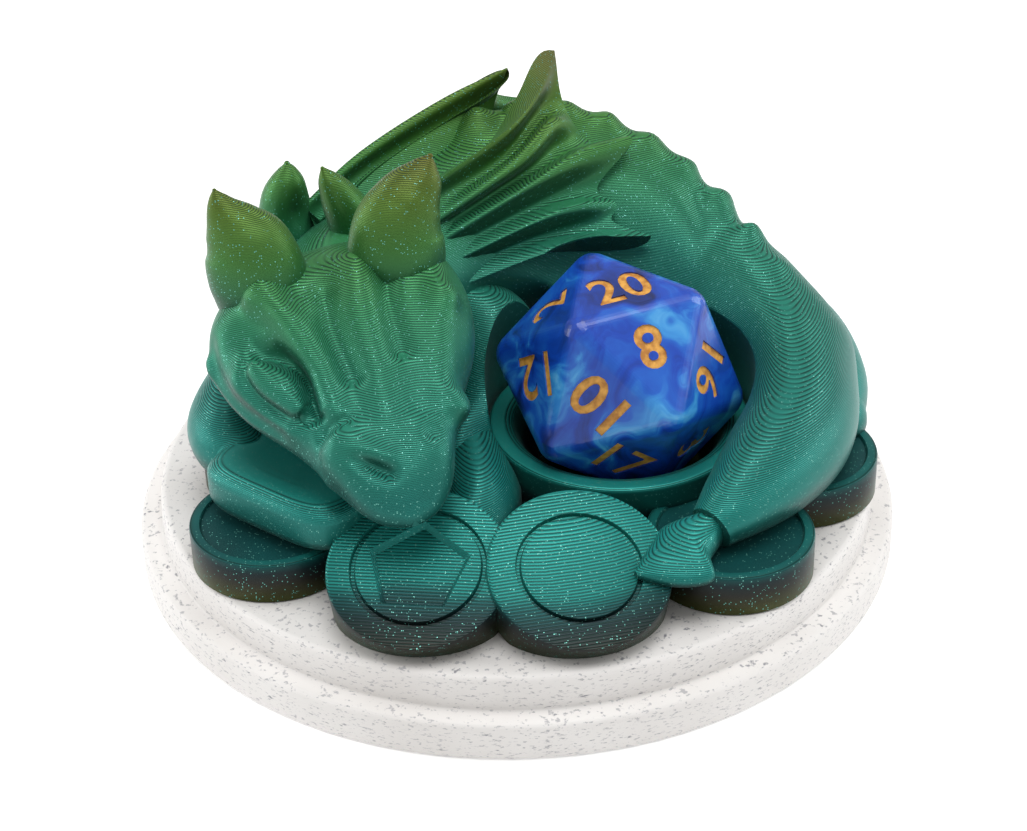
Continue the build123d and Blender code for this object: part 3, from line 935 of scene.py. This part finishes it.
# %% [markdown]
# ## Wings
# A folded wing is a skin between fingers.  The fingers are ridges and the skin
# sags between them, so the surface is a net: one way along the fingers, the other
# way across them, smoothed in both, with a cosine added that is high on each
# finger and low between.  A second net a little below gives the skin thickness,
# and a strip round the edge closes it.

# %% helper: a skin of two nets
def smooth_net(fingers, across, along):
    """Catmull-Rom through the stations of each finger, then through the fingers."""
    net = np.array(fingers, float)
    count, stations = net.shape[:2]
    first = np.stack([smooth_through(finger, along) for finger in net])
    flat_rows = smooth_through(first.reshape(count, -1), across)
    return flat_rows.reshape(across, along, 3)


def net_normals(net):
    """Cross product of the two directions of an open net."""
    return unit(np.cross(np.gradient(net, axis=0), np.gradient(net, axis=1)))


def slab_shell(top, under):
    """Two nets of the same size, joined round their border by a strip of squares."""
    rows, columns = top.shape[:2]
    points = np.vstack([top.reshape(-1, 3), under.reshape(-1, 3)])
    index = np.arange(rows * columns).reshape(rows, columns)
    quads = np.stack([index[:-1, :-1], index[1:, :-1], index[1:, 1:], index[:-1, 1:]], -1)
    quads = quads.reshape(-1, 4)
    border = np.concatenate([index[0, :], index[1:, -1], index[-1, -2::-1], index[-2:0:-1, 0]])
    after = np.roll(border, -1)
    below = rows * columns
    strip = np.stack([border, after, after + below, border + below], -1)
    faces = np.vstack([quads, quads[:, ::-1] + below, strip])
    halves = np.vstack([faces[:, [0, 1, 2]], faces[:, [0, 2, 3]]])
    if signed_volume(points - points.mean(0), halves) < 0:
        faces = faces[:, ::-1]
    return points, faces.tolist()


def wing(name, node, fingers, height, thickness, across=190, along=110):
    """The net plus height * cos(2 pi v) * sin(pi (0.85 u + 0.12)): u along, v finger to finger."""
    net = smooth_net(fingers, across, along)
    outward = net_normals(net)
    if np.sum(outward[..., 2]) < 0:
        outward = -outward
    v = np.linspace(0, len(fingers) // 2, across)[:, None]
    u = np.linspace(0, 1, along)[None, :]
    swell = height * np.cos(2 * np.pi * v) * np.sin(np.pi * np.clip(u * 0.85 + 0.12, 0, 1))
    edge = np.sqrt(np.clip(1 - u**6, 0, 1))
    top = net + outward * swell[..., None]
    under = top - outward * (thickness * (0.25 + 0.75 * edge))[..., None]
    figure_piece(name, slab_shell(clear_of_nest(top), clear_of_nest(under)), node)


# %% both wings
near_fingers = (
    ((-8.0, 8.4, 33.0), (-0.6, 13.3, 36.1), (2.8, 17.8, 38.4), (5.0, 21.0, 41.6)),
    ((-7.6, 7.8, 31.4), (-0.2, 12.2, 34.4), (3.6, 17.4, 36.4), (5.7, 20.2, 37.0)),
    ((-7.4, 7.2, 29.8), (0.8, 11.4, 33.8), (4.6, 16.2, 35.6), (6.9, 19.2, 34.2)),
    ((-7.2, 7.0, 28.9), (1.8, 11.4, 32.6), (5.7, 15.4, 33.8), (8.6, 18.0, 33.0)),
    ((-7.0, 6.5, 28.0), (2.7, 11.3, 31.8), (7.8, 14.6, 32.9), (12.6, 17.0, 33.5)),
    ((-7.0, 6.0, 26.8), (2.1, 9.9, 29.6), (6.5, 12.3, 30.2), (9.0, 13.8, 29.9)),
    ((-7.0, 5.6, 25.7), (2.1, 9.4, 28.3), (6.8, 11.4, 28.8), (10.8, 12.8, 28.4)),
    ((-7.0, 5.2, 24.6), (2.1, 8.6, 26.8), (7.0, 10.4, 27.2), (10.4, 11.4, 27.3)),
    ((-7.0, 4.8, 23.2), (2.0, 7.9, 25.3), (8.8, 9.4, 26.1), (14.1, 10.4, 26.0)),
)
far_fingers = (
    ((-18.5, 8.0, 28.0), (-13.5, 12.0, 30.4), (-6.2, 17.0, 32.6), (-1.6, 22.0, 33.8)),
    ((-19.2, 8.6, 30.0), (-13.9, 12.9, 32.7), (-6.2, 18.3, 35.1), (-0.8, 22.5, 36.2)),
    ((-19.8, 9.0, 31.2), (-14.2, 13.6, 34.2), (-6.2, 19.4, 37.0), (0.3, 23.0, 39.0)),
    ((-20.2, 9.6, 29.9), (-14.6, 15.6, 33.0), (-6.8, 21.9, 35.0), (-1.2, 25.4, 35.4)),
    ((-20.8, 10.4, 28.6), (-15.0, 17.6, 31.6), (-6.2, 25.0, 33.0), (3.0, 29.6, 32.2)),
    ((-21.0, 11.0, 27.2), (-15.6, 19.2, 29.2), (-7.7, 26.7, 29.8), (-0.6, 30.6, 29.2)),
    ((-21.2, 11.5, 25.8), (-16.0, 20.2, 26.8), (-8.2, 28.2, 27.0), (0.4, 32.6, 26.0)),
    ((-21.4, 12.0, 24.4), (-16.8, 20.4, 24.0), (-10.2, 27.8, 23.4), (-4.5, 31.3, 22.2)),
    ((-21.6, 12.5, 23.0), (-17.2, 20.8, 21.4), (-11.2, 28.2, 20.0), (-5.0, 32.6, 18.4)),
)
wing("near_wing_skin", "wing_left", near_fingers, 0.85, 3.4)
wing("far_wing_skin", "wing_right", far_fingers, 0.45, 2.2)


# %% [markdown]
# ## Legs, paws and tail tip
# The forelegs are folded under the chin: a rounded elbow on each side and a paw
# like a thick cushion.  The hind leg is a low swelling outside the tail.  The tail
# ends in a flat spade.

# %% legs
limb("foreleg_right_skin", "foreleg_right", (
    (-19.0, 5.0, 18.0, 5.6), (-24.0, 1.0, 16.0, 5.2), (-26.8, -3.4, 14.8, 4.5),
    (-27.0, -6.4, 14.4, 4.0), (-25.6, -9.0, 13.8, 3.2)))
limb("foreleg_left_skin", "foreleg_left", (
    (-6.0, 8.0, 18.6, 5.0), (-2.2, 5.0, 18.0, 4.9), (-1.6, 0.2, 16.2, 4.2),
    (-3.8, -4.2, 13.8, 3.4), (-5.6, -8.0, 12.6, 3.0)))
limb("paw_left_skin", "paw_left", (
    (-4.6, -4.0, 11.6, 4.0), (-4.0, -9.0, 11.0, 4.2), (-3.6, -13.6, 10.4, 4.0),
    (-4.6, -17.4, 9.8, 3.2)), columns=80)
limb("haunch_skin", "haunch_right", (
    (24.5, 13.0, 14.0, 6.4), (28.0, 8.0, 13.4, 6.4), (30.2, 3.0, 12.6, 5.2),
    (31.0, -1.6, 11.6, 3.6)))


# %% paw under the chin
PAW_EDGE = 1.5
PAW_DISH = 0.5
OUTLINE_POWER = 2 / 4.2


def cushion_rings(middle, half_length, half_width, low, high, turn, columns=160):
    """A rounded slab: superellipse outline, quarter-round edges, and a dished top."""
    angle = np.linspace(0, 2 * np.pi, columns, endpoint=False)
    x = half_length * np.sign(np.cos(angle)) * np.abs(np.cos(angle)) ** OUTLINE_POWER
    y = half_width * np.sign(np.sin(angle)) * np.abs(np.sin(angle)) ** OUTLINE_POWER
    t = np.linspace(0, np.pi / 2, 8)
    over, down = PAW_EDGE * (1 - np.sin(t)), PAW_EDGE * (1 - np.cos(t))
    inset = np.concatenate([[0.02, 0.3, 0.55, 0.72], 1 - over / half_width,
                            1 - down / half_width, [0.5, 0.02]])
    dish = high - PAW_DISH * np.array([1.0, 0.8, 0.3, 0.0])
    height = np.concatenate([dish, high - down, low + over, [low, low]])
    local_x = inset[:, None] * x
    local_y = inset[:, None] * y
    c, s = math.cos(turn), math.sin(turn)
    z = np.broadcast_to(height[:, None], local_x.shape)
    return np.stack([local_x * c - local_y * s + middle[0],
                     local_x * s + local_y * c + middle[1], z], -1)


paw = cushion_rings((-19.4, -13.6), 8.5, 6.7, 11.5, 16.4, math.radians(-38))
figure_piece("paw_right_skin", closed_shell(paw), "paw_right")


# %% tail tip
def leaf_rings(left, right, thickness, rows=90, columns=64):
    """Flat ovals between two lines: middle + cos a * half width + sin a * thickness * normal."""
    left, right = smooth_through(left, rows), smooth_through(right, rows)
    thick = smooth_through(np.array(thickness)[:, None], rows)
    middle, half = (left + right) / 2, (left - right) / 2
    normal = unit(np.cross(half, np.gradient(middle, axis=0)))
    angle = np.linspace(0, 2 * np.pi, columns, endpoint=False)
    cosine = np.sign(np.cos(angle)) * np.abs(np.cos(angle)) ** 0.8
    return (middle[:, None] + cosine[None, :, None] * half[:, None]
            + (np.sin(angle)[None, :] * thick)[..., None] * normal[:, None])


spade = leaf_rings(
    ((17.6, -20.2, 13.4), (15.6, -20.9, 13.3), (13.9, -21.4, 13.1), (12.8, -21.9, 12.9),
     (12.0, -23.4, 12.7), (11.1, -25.2, 12.5), (10.2, -27.0, 12.2)),
    ((18.6, -22.6, 12.9), (17.8, -24.0, 12.5), (17.1, -25.6, 12.4), (17.2, -27.9, 12.0),
     (15.2, -28.5, 11.8), (12.8, -28.2, 11.8), (10.5, -27.5, 12.0)),
    (2.2, 1.9, 1.7, 1.6, 1.3, 1.0, 0.4),
)
figure_piece("tail_tip_skin", closed_shell(spade), "tail_tip")


# %% [markdown]
# ## The die
# A twenty-sided die is an icosahedron.  Its twelve corners lie in four rings of
# three round the axis through the middles of two opposite faces, so four polar
# angles place them all.  A Bevel modifier rounds the edges.  The numbers are
# text made a mesh, laid on each face with its top towards one corner, sunk into
# the resin by a Boolean, and filled with paint that stays a little lower.

# %% corners and faces
DIE_ACROSS_FLATS = 20.0
INSPHERE_SHARE = 0.7946545  # face distance over corner distance in an icosahedron
DIE_CORNER_R = DIE_ACROSS_FLATS / 2 / INSPHERE_SHARE
EDGE_ROUNDING = 0.75
DIE_TURN = math.radians(-8)
DIE_TIP = math.radians(4)
die_middle = np.array([10.2, -3.5, 18.4])
ring_polar = np.radians([37.377, 79.188, 100.812, 142.623])
ring_turn = np.radians([0.0, 60.0, 0.0, 60.0])
polar = np.repeat(ring_polar, 3)
turn = np.repeat(ring_turn, 3) + np.tile(np.radians([0.0, 120.0, 240.0]), 4)
die_x = np.array([math.cos(DIE_TURN), math.sin(DIE_TURN), 0.0])
die_z = np.array([0.0, -math.sin(DIE_TIP), math.cos(DIE_TIP)])
die_x = unit(die_x - die_z * (die_x @ die_z))
die_axes = np.stack([die_x, np.cross(die_z, die_x), die_z])
local_corners = np.stack([np.sin(polar) * np.cos(turn), np.sin(polar) * np.sin(turn),
                          np.cos(polar)], -1)
die_corners = DIE_CORNER_R * local_corners @ die_axes + die_middle
face_corners = {
    # number: the corner that its top points to, and the other two
    1: (11, 9, 10), 2: (4, 2, 1), 3: (6, 5, 11), 4: (7, 3, 1), 5: (10, 4, 7), 6: (6, 0, 3),
    7: (11, 8, 10), 8: (5, 2, 0), 9: (9, 6, 3), 10: (8, 2, 5), 11: (9, 3, 7), 12: (8, 2, 4),
    13: (10, 9, 7), 14: (3, 0, 1), 15: (10, 4, 8), 16: (6, 0, 5), 17: (5, 11, 8), 18: (7, 4, 1),
    19: (9, 6, 11), 20: (1, 0, 2),
}
print("die corner radius", round(DIE_CORNER_R, 2))


# %% die solid
def modifier_applied(piece):
    """Keep the modifiers' result as the piece's own mesh."""
    graph = bpy.context.evaluated_depsgraph_get()
    finished = bpy.data.meshes.new_from_object(piece.evaluated_get(graph))
    piece.modifiers.clear()
    piece.data = finished


def facing_out(triangle):
    """The three corner numbers, in the order that turns the face outwards."""
    a, b, c = die_corners[list(triangle)]
    return list(triangle) if np.cross(b - a, c - a) @ (a - die_middle) > 0 else list(triangle[::-1])


die_faces = [facing_out(triangle) for triangle in face_corners.values()]
die = make_piece("die_resin_body", (die_corners, die_faces), smooth=False)
rounding = die.modifiers.new("rounding", "BEVEL")
rounding.width = EDGE_ROUNDING * MM
rounding.segments = 5
rounding.limit_method = "NONE"
modifier_applied(die)


# %% numbers
NUMBER_HEIGHT = 4.0
NUMBER_SUNK = 0.45
PAINT_BELOW = 0.16
CAPITAL_SHARE = 0.70
STROKE_GROWN = 0.14
DOTTED = (6, 9)


def number_mesh(text, thickness):
    """A flat number in Blender's own font, extruded both ways, its middle at the origin."""
    curve = bpy.data.curves.new("number", "FONT")
    curve.body = text
    curve.size = NUMBER_HEIGHT / CAPITAL_SHARE
    curve.extrude = thickness / 2
    curve.offset = STROKE_GROWN
    curve.space_character = 1.06
    curve.resolution_u = 4
    holder = bpy.data.objects.new("number", curve)
    mesh = bpy.data.meshes.new_from_object(holder)
    points = np.zeros(len(mesh.vertices) * 3)
    mesh.vertices.foreach_get("co", points)
    points = points.reshape(-1, 3)
    faces = [list(face.vertices) for face in mesh.polygons]
    points -= (points.max(0) + points.min(0)) / 2
    bpy.data.objects.remove(holder)
    bpy.data.meshes.remove(mesh)
    return points, faces


def numbers_shell(top, bottom):
    """All twenty numbers as solids between two depths below the faces."""
    shells = []
    for number, corners in face_corners.items():
        points, faces = number_mesh(f"{number}." if number in DOTTED else f"{number}", bottom - top)
        a, b, c = die_corners[list(corners)]
        middle = (a + b + c) / 3
        out = unit(middle - die_middle)
        up = unit(a - middle)
        axes = np.stack([np.cross(up, out), up, out])
        shells.append((points @ axes + middle - out * (top + bottom) / 2, faces))
    return joined(shells)


def welded(piece):
    """Merge the doubled points that a text mesh has, so the solid is closed."""
    weld = piece.modifiers.new("weld", "WELD")
    weld.merge_threshold = 0.002 * MM
    modifier_applied(piece)
    return piece


cutter = welded(make_piece("number_cutter", numbers_shell(-0.5, NUMBER_SUNK), smooth=False))
carve = die.modifiers.new("carve", "BOOLEAN")
carve.operation = "DIFFERENCE"
carve.solver = "EXACT"
carve.use_self = True
carve.object = cutter
modifier_applied(die)
bpy.data.objects.remove(cutter)
settle(die, "die", ["d20"], resin)
fill = numbers_shell(PAINT_BELOW, NUMBER_SUNK + 0.1)
digits = welded(make_piece("number_paint_fill", fill, smooth=False))
settle(digits, "die", ["d20_numerals"], paint)
print("die:", len(die.data.polygons), "faces after carving")


# %% [markdown]
# ## Sharp borders
# Sharp borders between smooth faces stay sharp.

# %% sharp borders
SHARP_FROM = math.radians(42)
for piece in bpy.data.objects:
    if piece.type == "MESH" and piece.name not in frame["nodes"] and piece.data.materials:
        if piece.data.materials[0] in (silk, marble_plastic):
            piece.data.set_sharp_from_angle(angle=SHARP_FROM)
